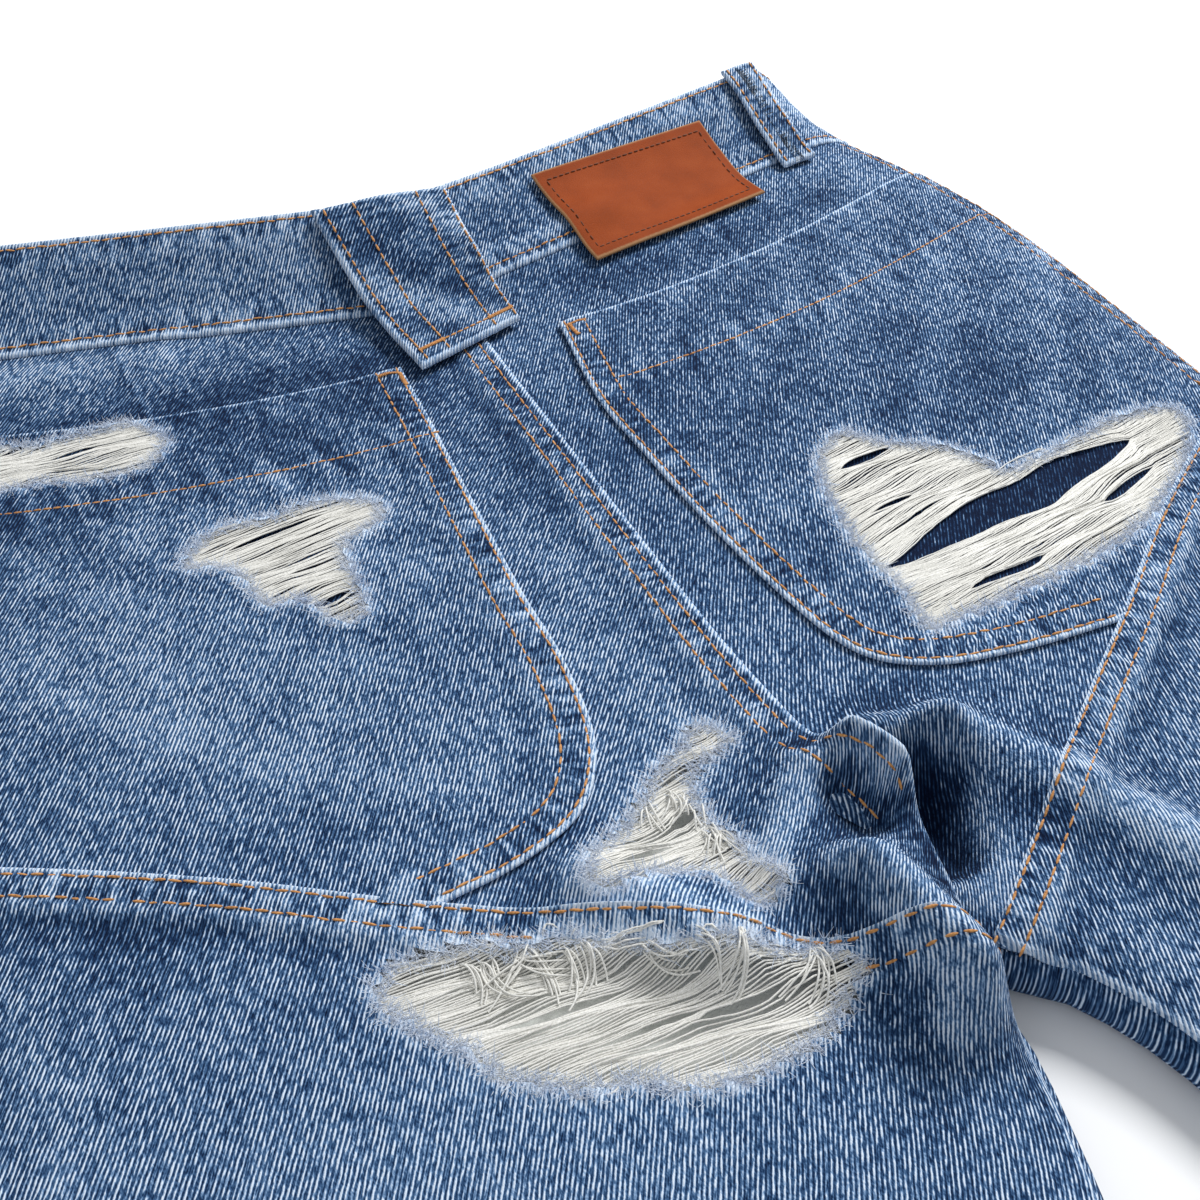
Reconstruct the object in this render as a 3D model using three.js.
// Ripped blue jeans lying face down on a table, back side up.
// Sizes are in millimetres. Each cloth panel is a wall: a grid of points on the
// garment's surface, given its thickness along the surface's normals.
//
// Points of the garment are written as (x, v): x runs across it, towards the wearer's
// right, and v runs along it, towards the waist, from the level of the back pockets'
// inner mouth corners. The finished group is moved along Y so that v becomes y.
import * as THREE from "three";

// ---- driving sizes -------------------------------------------------------------------
const DENIM = 1.6; // a single layer with its finish
const SEAM_GAP = 0.3; // between pieces that are sewn to each other
const STEEPEST = 0.65; // a sloping wall's height in Z is its thickness divided by at least this
const BAND_THICKNESS = 2.4; // waistband and belt loops are folded double
const LEATHER = 1.8;
const COTTON = 1.0;

const CROTCH_V = -262;
const HEM_V = -1022;
const WAIST_HALF = 242; // half of the flat waist at the waistband's seam
const WAIST_BAND_PLAN = 45; // the back waistband slopes up, so it is narrower in plan
const WAIST_BAND_RISE = 27; // and gains this much height
const FRONT_BAND_HEIGHT = 50;
const FRONT_RISE_V = -12; // the front waist seam at the centre dips to here
const SHIFT_Y = 444.22; // centres the garment's length on the origin

const SIDE_ROLL = 8; // the front panels roll up round the sides with this radius
const ROLL_END = THREE.MathUtils.degToRad(60); // and end here, on the upper side
const SIDE_SHOULDER = 34; // over this width the back rises from the side seam
const INNER_SHOULDER = 22;
const SEAM_INSET = SIDE_ROLL * (1 - Math.cos(ROLL_END));
const SEAM_Z = SIDE_ROLL * (1 + Math.sin(ROLL_END)) + DENIM / STEEPEST + SEAM_GAP;

// ---- small helpers -------------------------------------------------------------------
const mix = (a, b, t) => a + (b - a) * t;
const clamp = (x) => Math.min(1, Math.max(0, x));
const smooth = (x) => clamp(x) ** 2 * (3 - 2 * clamp(x));
const range = (n) => Array.from({ length: n + 1 }, (_, i) => i / n);

// A smooth curve through stations [[x, value], ...] that never overshoots them.
function through(stations) {
  const slope = stations.slice(1).map(([x, y], i) => (y - stations[i][1]) / (x - stations[i][0]));
  const tangent = stations.map((_, i) => {
    if (i === 0) return slope[0];
    if (i === stations.length - 1) return slope[i - 1];
    const [a, b] = [slope[i - 1], slope[i]];
    return a * b <= 0 ? 0 : (2 * a * b) / (a + b);
  });
  return (x) => {
    let i = 0;
    while (i < stations.length - 2 && x > stations[i + 1][0]) i++;
    const [x0, y0] = stations[i];
    const [x1, y1] = stations[i + 1];
    const h = x1 - x0;
    const t = clamp((x - x0) / h);
    const t2 = t * t;
    const t3 = t2 * t;
    return (
      (2 * t3 - 3 * t2 + 1) * y0 +
      (t3 - 2 * t2 + t) * h * tangent[i] +
      (3 * t2 - 2 * t3) * y1 +
      (t3 - t2) * h * tangent[i + 1]
    );
  };
}

// ---- the cut, as seen from above -----------------------------------------------------
// Outline of one side, as distance from the centre line.
const outer = through([
  [HEM_V, 335], [-700, 297], [-420, 272], [-300, 259], [-175, 255],
  [-100, 260], [-20, 265], [50, 258], [97, 245], [140, 232],
]);
// Inside edge of each leg, as x; the left leg leans on the right one at the crotch.
const innerRight = through([
  [HEM_V, 110], [-700, 72], [-500, 54], [-400, 41], [-360, 33], [-336, 22],
  [-318, 6], [-290, 3], [CROTCH_V, 0.3],
]);
const innerLeft = through([
  [HEM_V, -110], [-700, -66], [-500, -40], [-420, -20], [-370, -4], [-340, 3],
  [-318, 4], [-290, 2], [CROTCH_V, -0.3],
]);
const innerEdge = (side, v) => (side > 0 ? innerRight(v) : -innerLeft(v));

const waistSeam = (a) => 31 + 0.25 * Math.hypot(a, 20);
const frontWaistSeam = (a) => mix(FRONT_RISE_V, waistSeam(WAIST_HALF), (a / WAIST_HALF) ** 2);
const thighSeam = through([
  [-10, -326], [11, -314], [39, -295], [63, -278], [96, -256],
  [128, -235], [168, -207], [221, -176], [262, -156],
]);
const pocketMouth = through([[30, 0], [75, 3], [128, 11], [190, 27], [262, 50]]);
// Inner side and rounded bottom of each back pocket, down to the thigh seam. The two
// pockets are not quite alike: the right one sits closer to the centre seam.
const curve = (points) => new THREE.SplineCurve(points.map(([x, v]) => new THREE.Vector2(x, v)));
const pocketSides = {
  left: curve([
    [35, -1], [39, -51], [43, -93], [47, -142], [48, -174],
    [54, -208], [68, -230], [90, -240], [121, -242],
  ]),
  right: curve([
    [35, 0], [25, -54], [24, -95], [25, -135], [29, -180],
    [36, -214], [54, -230], [84, -238], [120, -241],
  ]),
};

// ---- heights -------------------------------------------------------------------------
// Height of the upper layer along the middle of a leg or of the seat.
const crown = through([
  [HEM_V, 15.5], [-700, 18], [-450, 20], [-330, 22], [CROTCH_V, 23],
  [-200, 22], [-100, 24], [0, 23], [70, 25],
]);
// The largest folds: a line from one end to the other, its height and its half width.
const FOLDS = [
  { from: [-2, -226], to: [8, -258], height: 15, width: 11 }, // the crotch's pinched crest
  { from: [27, -262], to: [22, -276], height: -14, width: 9 }, // the pit beside it
  { from: [40, -246], to: [84, -330], height: 7, width: 13 }, // right inner thigh
  { from: [-24, -240], to: [-32, -292], height: -11, width: 12 }, // left valley
  { from: [-13, -288], to: [-13, -335], height: 18, width: 12 }, // left inner thigh
  { from: [-64, -262], to: [-84, -300], height: 5, width: 15 },
  { from: [28, 44], to: [92, 58], height: 5, width: 14 }, // beside the centre loop
  { from: [120, -620], to: [250, -650], height: 5, width: 14 }, // behind the knees
  { from: [-110, -640], to: [-240, -600], height: 5, width: 14 },
];

function foldHeight({ from, to, height, width }, x, v) {
  const [dx, dv] = [to[0] - from[0], to[1] - from[1]];
  const t = clamp(((x - from[0]) * dx + (v - from[1]) * dv) / (dx * dx + dv * dv));
  const away = Math.hypot(x - from[0] - t * dx, v - from[1] - t * dv);
  return height * Math.exp(-((away / width) ** 2));
}

// How far a leg's inside edge has rolled down: 0 on the seat, 1 on the leg.
const legness = (v) => smooth((CROTCH_V + 6 - v) / 26);
const shoulder = (d) => 1 - (1 - clamp(d)) ** 2.3;

// The waistband leaves the seat in a soft bend, at 0, and is straight up to its top, at 1.
const BEND = 0.14;
const lean = (t) => (Math.hypot(t, BEND) + t - (Math.hypot(1, BEND) - 1)) / 2;

// Upper surface of the back at distance a from the centre line, on one side.
function backZ(side, a, v) {
  const fromSide = shoulder((outer(v) - SEAM_INSET - a) / SIDE_SHOULDER);
  const fromInside = mix(1, shoulder((a - innerEdge(side, v) - SEAM_INSET) / INNER_SHOULDER), legness(v));
  const band = lean((v - waistSeam(a)) / WAIST_BAND_PLAN);
  const folds = FOLDS.reduce((sum, fold) => sum + foldHeight(fold, side * a, v), 0);
  const rise = crown(v) + WAIST_BAND_RISE * Math.max(band, 0) + folds - SEAM_Z;
  return SEAM_Z + Math.max(rise, 5 - SEAM_Z) * fromSide * fromInside;
}

const backPoint = (side, [a, v], lift = 0) => new THREE.Vector3(side * a, v, backZ(side, a, v) + lift);

// ---- building walls ------------------------------------------------------------------
// A patch between four edges, each a function of 0..1 that gives [a, v].
function patch(top, bottom, inner, outerEdge) {
  return (s, t) => {
    const blend = (k) =>
      mix(inner(s)[k], outerEdge(s)[k], t) +
      mix(top(t)[k], bottom(t)[k], s) -
      mix(mix(top(0)[k], top(1)[k], t), mix(bottom(0)[k], bottom(1)[k], t), s);
    return [blend(0), blend(1)];
  };
}

// A closed wall from rows of points. Its outer face is the points, moved out by lift,
// and its thickness goes inwards along the normal, which is across the neighbours.
// The garment's front faces the table, so its normals point down. A wall of the back
// is offset straight up and down instead, by as much more as its slope asks for, so
// that panels that are clear of each other from above never touch.
function wall(rows, thickness, { lift = 0, underside = false } = {}) {
  const [m, n] = [rows.length, rows[0].length];
  const crossed = (i, j) => {
    const along = rows[Math.min(i + 1, m - 1)][j].clone().sub(rows[Math.max(i - 1, 0)][j]);
    const across = rows[i][Math.min(j + 1, n - 1)].clone().sub(rows[i][Math.max(j - 1, 0)]);
    return across.cross(along).normalize();
  };
  const turn = -Math.sign(crossed(m >> 1, n >> 1).z);
  const normal = (i, j) => {
    const across = crossed(i, j);
    if (underside) return across.multiplyScalar(turn);
    return new THREE.Vector3(0, 0, 1 / Math.max(Math.abs(across.z), STEEPEST));
  };
  const at = (i, j, depth) => rows[i][j].clone().addScaledVector(normal(i, j), lift - depth);
  const points = [0, thickness].flatMap((depth) => rows.flatMap((row, i) => row.map((_, j) => at(i, j, depth))));
  const id = (i, j, layer) => layer * m * n + i * n + j;
  const index = [];
  const quad = (a, b, c, d) => index.push(a, b, c, a, c, d);
  for (let i = 0; i < m - 1; i++) {
    for (let j = 0; j < n - 1; j++) {
      quad(id(i, j, 0), id(i, j + 1, 0), id(i + 1, j + 1, 0), id(i + 1, j, 0));
      quad(id(i, j, 1), id(i + 1, j, 1), id(i + 1, j + 1, 1), id(i, j + 1, 1));
    }
  }
  for (let i = 0; i < m - 1; i++) {
    quad(id(i, 0, 0), id(i + 1, 0, 0), id(i + 1, 0, 1), id(i, 0, 1));
    quad(id(i, n - 1, 1), id(i + 1, n - 1, 1), id(i + 1, n - 1, 0), id(i, n - 1, 0));
  }
  for (let j = 0; j < n - 1; j++) {
    quad(id(0, j, 1), id(0, j + 1, 1), id(0, j + 1, 0), id(0, j, 0));
    quad(id(m - 1, j, 0), id(m - 1, j + 1, 0), id(m - 1, j + 1, 1), id(m - 1, j, 1));
  }
  const geometry = new THREE.BufferGeometry().setFromPoints(points);
  geometry.setIndex(index);
  // Rows that run the other way give a wall whose faces point in, so it is turned round.
  if (signedVolume(geometry) < 0) geometry.setIndex(index.slice().reverse());
  return geometry;
}

function signedVolume(geometry) {
  const { position } = geometry.attributes;
  const index = geometry.index.array;
  const [a, b, c] = [new THREE.Vector3(), new THREE.Vector3(), new THREE.Vector3()];
  let sum = 0;
  for (let i = 0; i < index.length; i += 3) {
    a.fromBufferAttribute(position, index[i]);
    b.fromBufferAttribute(position, index[i + 1]);
    c.fromBufferAttribute(position, index[i + 2]);
    sum += a.dot(b.cross(c));
  }
  return sum / 6;
}

// ---- materials -----------------------------------------------------------------------
const finish = (color, roughness, metalness = 0) =>
  new THREE.MeshStandardMaterial({ color, roughness, metalness });
const DENIM_BLUE = finish(0x4a6c9b, 0.9);
const TAN_LEATHER = finish(0xb0552c, 0.6);
const WHITE_COTTON = finish(0xe4e3d8, 0.95);
const COPPER = finish(0xa66a45, 0.4, 1);

const garment = new THREE.Group();
function add(name, geometry, material) {
  const mesh = new THREE.Mesh(geometry, material);
  mesh.name = name;
  garment.add(mesh);
  return mesh;
}

// ---- back panels ---------------------------------------------------------------------
const crowded = (t) => Math.sin((t * Math.PI) / 2); // columns crowd at the side seam
const SEAT_ROWS = 15;
const SEAT_COLUMNS = 13;
const LEG_ROWS = 15;
const LEG_COLUMNS = 12;
const THIGH_INNER = { right: 7, left: -3 }; // where the thigh seam meets each inseam, as a
const SIDE_END_V = -165; // and where it meets the side seams
const SEAT_CROWDING = 1.35; // rows crowd towards the waist
const LEG_CROWDING = 1.5; // and, on a leg, towards the thigh seam
const CROTCH_REACH = -4; // how far the seat crosses the centre line at the crotch

function seat(side) {
  const innerEnd = side > 0 ? THIGH_INNER.right : THIGH_INNER.left;
  const bottomV = thighSeam(innerEnd) + SEAM_GAP;
  const outerEnd = outer(SIDE_END_V) - SEAM_INSET;
  const outerV = thighSeam(outerEnd) + SEAM_GAP;
  const waistEnd = WAIST_HALF - SEAM_INSET;
  const insideEdge = (v) => {
    const edge = mix(SEAM_GAP / 2, innerEdge(side, v), legness(v));
    return Math.max(edge, CROTCH_REACH) + SEAM_INSET * legness(v);
  };
  const rowAt = patch(
    (t) => {
      const across = crowded(t);
      return [mix(SEAM_GAP / 2, waistEnd, across), waistSeam(mix(0, waistEnd, across)) - SEAM_GAP];
    },
    (t) => {
      const a = mix(insideEdge(bottomV), outerEnd, crowded(t));
      return [a, thighSeam(a) + SEAM_GAP];
    },
    (s) => {
      const v = mix(waistSeam(0) - SEAM_GAP, bottomV, s);
      return [insideEdge(v), v];
    },
    (s) => {
      const v = mix(waistSeam(waistEnd) - SEAM_GAP, outerV, s);
      return [outer(v) - SEAM_INSET, v];
    },
  );
  const rows = range(SEAT_ROWS).map((s) => range(SEAT_COLUMNS).map((t) => {
    // The patch's edges are already crowded, so t is crowded between them as well.
    const [a, v] = rowAt(s ** SEAT_CROWDING, t);
    return backPoint(side, [a, v]);
  }));
  return wall(rows, DENIM);
}

// Across a leg, columns crowd at both seams.
const crowdedBoth = (t) => (1 - Math.cos(t * Math.PI)) / 2;

function backLeg(side) {
  const innerEnd = side > 0 ? THIGH_INNER.right : THIGH_INNER.left;
  const outerEnd = outer(SIDE_END_V) - SEAM_INSET;
  const hemInner = innerEdge(side, HEM_V) + SEAM_INSET;
  const hemOuter = outer(HEM_V) - SEAM_INSET;
  const topV = thighSeam(innerEnd) - SEAM_GAP;
  const insideEdge = (v) => innerEdge(side, v) + SEAM_INSET * legness(v);
  const rowAt = patch(
    (t) => {
      const a = mix(insideEdge(topV), outerEnd, t);
      return [a, thighSeam(a) - SEAM_GAP];
    },
    (t) => [mix(hemInner, hemOuter, t), HEM_V],
    (s) => {
      const v = mix(topV, HEM_V, s);
      return [insideEdge(v), v];
    },
    (s) => {
      const v = mix(thighSeam(outerEnd) - SEAM_GAP, HEM_V, s);
      return [outer(v) - SEAM_INSET, v];
    },
  );
  const rows = range(LEG_ROWS).map((s) =>
    range(LEG_COLUMNS).map((t) => backPoint(side, rowAt(s ** LEG_CROWDING, crowdedBoth(t)))),
  );
  return wall(rows, DENIM);
}

// ---- front panels --------------------------------------------------------------------
const FRONT_ROWS = 20;
const FLAT_COLUMNS = 6;
const ROLL_STEPS = 4;
const FLAT_SPACING = 0.6; // between the curl's points where there is no curl

// Points [a, z] of a front row from the inside edge to the side: a curl, a flat part that
// lies on the table, and the roll that reaches the side seam. On the leg the curl is 1; on
// the seat it is 0 and its points lie side by side on the table.
function underRow(inside, outside, curl) {
  const points = [];
  const radius = SIDE_ROLL * curl;
  for (const t of range(ROLL_STEPS)) {
    const angle = mix(mix(-Math.PI / 2, ROLL_END, curl), -Math.PI / 2, t);
    const a = inside + radius - radius * Math.cos(angle) + FLAT_SPACING * (1 - curl) * ROLL_STEPS * t;
    points.push([a, radius * (1 + Math.sin(angle))]);
  }
  const flatFrom = inside + radius;
  const flatTo = outside - SIDE_ROLL;
  for (const t of range(FLAT_COLUMNS).slice(1)) points.push([mix(flatFrom, flatTo, t), 0]);
  for (const t of range(ROLL_STEPS).slice(1)) {
    const angle = mix(-Math.PI / 2, ROLL_END, t);
    points.push([flatTo + SIDE_ROLL * Math.cos(angle), SIDE_ROLL * (1 + Math.sin(angle))]);
  }
  return points;
}

function front(side) {
  const top = FRONT_RISE_V - SEAM_GAP;
  const sideTop = waistSeam(WAIST_HALF) - SEAM_GAP;
  const rows = range(FRONT_ROWS).map((s) => {
    const v = mix(top, HEM_V, s);
    const curl = legness(v);
    const inside = mix(SEAM_GAP / 2, innerEdge(side, v), curl);
    return underRow(inside, outer(mix(sideTop, HEM_V, s)), curl).map(([a, z]) => {
      const rise = frontWaistSeam(Math.min(Math.max(a, 0), WAIST_HALF)) - FRONT_RISE_V;
      return new THREE.Vector3(side * a, v + rise * (1 - s) ** 4, z);
    });
  });
  return wall(rows, DENIM, { underside: true });
}

// ---- back pockets --------------------------------------------------------------------
const POCKET_ROWS = 11;
const POCKET_COLUMNS = 10;
const ON_PANEL = DENIM + SEAM_GAP; // lift of what lies on a panel, to its outer face
const POCKET_LIFT = 0.7; // what a used pocket stands off its panel
const POCKET_MARGIN = SEAM_INSET + 1.5; // from the outline to the pocket's outer edge
const MOUTH_END_V = 46; // where the pocket's mouth meets the side seam

function backPocket(side) {
  const inner = side > 0 ? pocketSides.right : pocketSides.left;
  const [topEnd, bottomEnd] = [outer(MOUTH_END_V) - POCKET_MARGIN, outer(SIDE_END_V) - POCKET_MARGIN];
  const [topStart, bottomStart] = [inner.getPoint(0).x, inner.getPoint(1).x];
  const seamAt = (a) => thighSeam(a) + 1.2;
  const cornerRise = inner.getPoint(0).y - pocketMouth(topStart);
  const mouthAt = (a) => pocketMouth(a) + cornerRise * (1 - a / topEnd);
  const rowAt = patch(
    (t) => [mix(topStart, topEnd, t), mouthAt(mix(topStart, topEnd, t))],
    (t) => [mix(bottomStart, bottomEnd, t), seamAt(mix(bottomStart, bottomEnd, t))],
    (s) => inner.getPointAt(s).toArray(),
    (s) => {
      const v = mix(mouthAt(topEnd), seamAt(bottomEnd), s);
      return [outer(v) - POCKET_MARGIN, v];
    },
  );
  const rows = range(POCKET_ROWS).map((s) =>
    range(POCKET_COLUMNS).map((t) => backPoint(side, rowAt(s, crowded(t)))),
  );
  return wall(rows, DENIM, { lift: ON_PANEL + POCKET_LIFT });
}

// ---- waistband -----------------------------------------------------------------------
const BAND_COLUMNS = 28;
const BAND_ROWS = 4;

function waistbandBack() {
  const halfAt = (t) => outer(waistSeam(WAIST_HALF) + WAIST_BAND_PLAN * t) - SEAM_INSET;
  const rows = range(BAND_ROWS).map((t) =>
    range(BAND_COLUMNS).map((c) => {
      const x = halfAt(t) * Math.sin(((2 * c - 1) * Math.PI) / 2);
      const a = Math.abs(x);
      return backPoint(Math.sign(x) || 1, [a, waistSeam(a) + SEAM_GAP + WAIST_BAND_PLAN * t]);
    }),
  );
  return wall(rows, BAND_THICKNESS, { lift: BAND_THICKNESS - DENIM });
}

const FLY_OVERLAP = 16; // the left end of the waistband passes the centre by this much
const BUTTON_RADIUS = 8.5;
const BUTTON_HEIGHT = 2.2;

// The waistband's front lies on the table, except where the button holds it up.
function buttonLift(x, v) {
  const away = Math.hypot(x, v - (FRONT_RISE_V + FRONT_BAND_HEIGHT / 2));
  return (BUTTON_HEIGHT + 2 * SEAM_GAP) * smooth((44 - away) / 30);
}

function waistbandFront(side) {
  const end = side > 0 ? FLY_OVERLAP + SEAM_GAP : -FLY_OVERLAP;
  const rows = range(BAND_ROWS).map((t) => {
    const plan = (a) => mix(FRONT_BAND_HEIGHT, WAIST_BAND_PLAN, (a / WAIST_HALF) ** 2) * t;
    const half = outer(waistSeam(WAIST_HALF) + WAIST_BAND_PLAN * t);
    const points = range(9).map((c) => [mix(end, half - SIDE_ROLL, c), 0]);
    for (const r of range(ROLL_STEPS).slice(1)) {
      const angle = mix(-Math.PI / 2, ROLL_END, r);
      points.push([half - SIDE_ROLL + SIDE_ROLL * Math.cos(angle), SIDE_ROLL * (1 + Math.sin(angle))]);
    }
    return points.map(([a, z]) => {
      const away = Math.min(Math.abs(a), WAIST_HALF);
      const v = frontWaistSeam(away) + plan(away) + SEAM_GAP * 3;
      return new THREE.Vector3(side * a, v, z + buttonLift(side * a, v));
    });
  });
  return wall(rows, BAND_THICKNESS - 0.4, { underside: true });
}

// ---- belt loops ----------------------------------------------------------------------
// A loop is a folded strip from below the waist seam to the waistband's top edge.
function beltLoop({ foot, head, half, bow }) {
  const axis = new THREE.Vector2(head[0] - foot[0], head[1] - foot[1]);
  const across = new THREE.Vector2(axis.y, -axis.x).normalize();
  const rows = range(10).map((s) =>
    range(4).map((t) => {
      const x = mix(foot[0], head[0], s) + across.x * half * (2 * t - 1);
      const v = mix(foot[1], head[1], s) + across.y * half * (2 * t - 1);
      const clear = BAND_THICKNESS - DENIM + 2 * SEAM_GAP + bow * Math.sin(Math.PI * s);
      return backPoint(Math.sign(x) || 1, [Math.abs(x), v], clear);
    }),
  );
  return wall(rows, BAND_THICKNESS, { lift: BAND_THICKNESS });
}

// ---- leather patch -------------------------------------------------------------------
const PATCH_CLEARANCE = 1.4; // it bridges the bend at the waist seam
const PATCH = { corner: [70, 33], length: 100, height: 48, turn: 0.195 };

function leatherPatch() {
  const { corner, length, height, turn } = PATCH;
  const rows = range(5).map((s) =>
    range(8).map((t) => {
      const x = corner[0] + length * t * Math.cos(turn) - height * s * Math.sin(turn);
      const v = corner[1] + length * t * Math.sin(turn) + height * s * Math.cos(turn);
      return backPoint(1, [x, v], BAND_THICKNESS - DENIM + PATCH_CLEARANCE);
    }),
  );
  return wall(rows, LEATHER, { lift: LEATHER });
}

// ---- front pocket bag, which shows through the rips -----------------------------------
const BAG = { besideFly: 46, inner: 18, outer: 165, top: -70, bottom: -395, bulge: 4.5 };
const BAG_TO_INSEAM = 20;

function pocketBag() {
  const floor = DENIM + SEAM_GAP + COTTON;
  const rows = range(13).map((s) =>
    range(8).map((t) => {
      const v = mix(BAG.top, BAG.bottom, s);
      const besideFly = mix(BAG.besideFly, BAG.inner, smooth((FLY.bottom + 5 - v) / 45));
      const a = mix(Math.max(besideFly, innerEdge(-1, v) + BAG_TO_INSEAM), BAG.outer, t);
      const z = floor + BAG.bulge * Math.sin(Math.PI * s) * Math.sin(Math.PI * t);
      return new THREE.Vector3(-a, v, z);
    }),
  );
  return wall(rows, COTTON);
}

// ---- fly, zip and button -------------------------------------------------------------
const FLY = { width: 40, past: 8, top: FRONT_RISE_V - 4, bottom: -150 };
const ZIP = { from: -14, to: 2, bottom: FLY.bottom + 6, top: FLY.top - 4, height: 1.4 };
const SLIDER = { from: -10, to: -2, bottom: FLY.top - 16, top: FLY.top - 6, height: 2.3 };

// A flat plate between two x, two v and, upwards from z0, a height.
function slab([x0, x1], [v0, v1], z0, height) {
  const plate = new THREE.BoxGeometry(x1 - x0, v1 - v0, height);
  return plate.translate((x0 + x1) / 2, (v0 + v1) / 2, z0 + height / 2);
}

function button() {
  const profile = [
    [0, 0], [BUTTON_RADIUS - 1, 0], [BUTTON_RADIUS, 0.7], [BUTTON_RADIUS, BUTTON_HEIGHT - 0.6],
    [BUTTON_RADIUS - 1.2, BUTTON_HEIGHT], [0, BUTTON_HEIGHT],
  ].map(([r, z]) => new THREE.Vector2(r, z));
  const turned = new THREE.LatheGeometry(profile, 24);
  return turned.rotateX(Math.PI / 2).translate(0, FRONT_RISE_V + FRONT_BAND_HEIGHT / 2, 0);
}

// ---- assembly ------------------------------------------------------------------------
for (const [name, side] of [["left", -1], ["right", 1]]) {
  add(`seat_${name}`, seat(side), DENIM_BLUE);
  add(`back_leg_${name}`, backLeg(side), DENIM_BLUE);
  add(`front_${name}`, front(side), DENIM_BLUE);
  add(`back_pocket_${name}`, backPocket(side), DENIM_BLUE);
  add(`waistband_front_${name}`, waistbandFront(side), DENIM_BLUE);
}
add("waistband_back", waistbandBack(), DENIM_BLUE);
add("belt_loop_centre", beltLoop({ foot: [-4, -2], head: [-11, 81], half: 27, bow: 3 }), DENIM_BLUE);
add("belt_loop_left", beltLoop({ foot: [-200, 72], head: [-194, 126], half: 10, bow: 3 }), DENIM_BLUE);
add("belt_loop_right", beltLoop({ foot: [200, 72], head: [194, 126], half: 10, bow: 3 }), DENIM_BLUE);
add("leather_patch", leatherPatch(), TAN_LEATHER);
add("pocket_bag_left", pocketBag(), WHITE_COTTON);

// On the inside of the front: the fly shield, the zip on it and the slider on the zip.
const shieldZ = DENIM + SEAM_GAP;
const zipZ = shieldZ + DENIM + SEAM_GAP;
const sliderZ = zipZ + ZIP.height + SEAM_GAP;
add("fly_shield", slab([-FLY.width, FLY.past], [FLY.bottom, FLY.top], shieldZ, DENIM), DENIM_BLUE);
add("zip", slab([ZIP.from, ZIP.to], [ZIP.bottom, ZIP.top], zipZ, ZIP.height), COPPER);
add("zip_slider", slab([SLIDER.from, SLIDER.to], [SLIDER.bottom, SLIDER.top], sliderZ, SLIDER.height), COPPER);
add("waist_button", button(), COPPER);

garment.position.y = SHIFT_Y;
export default garment;
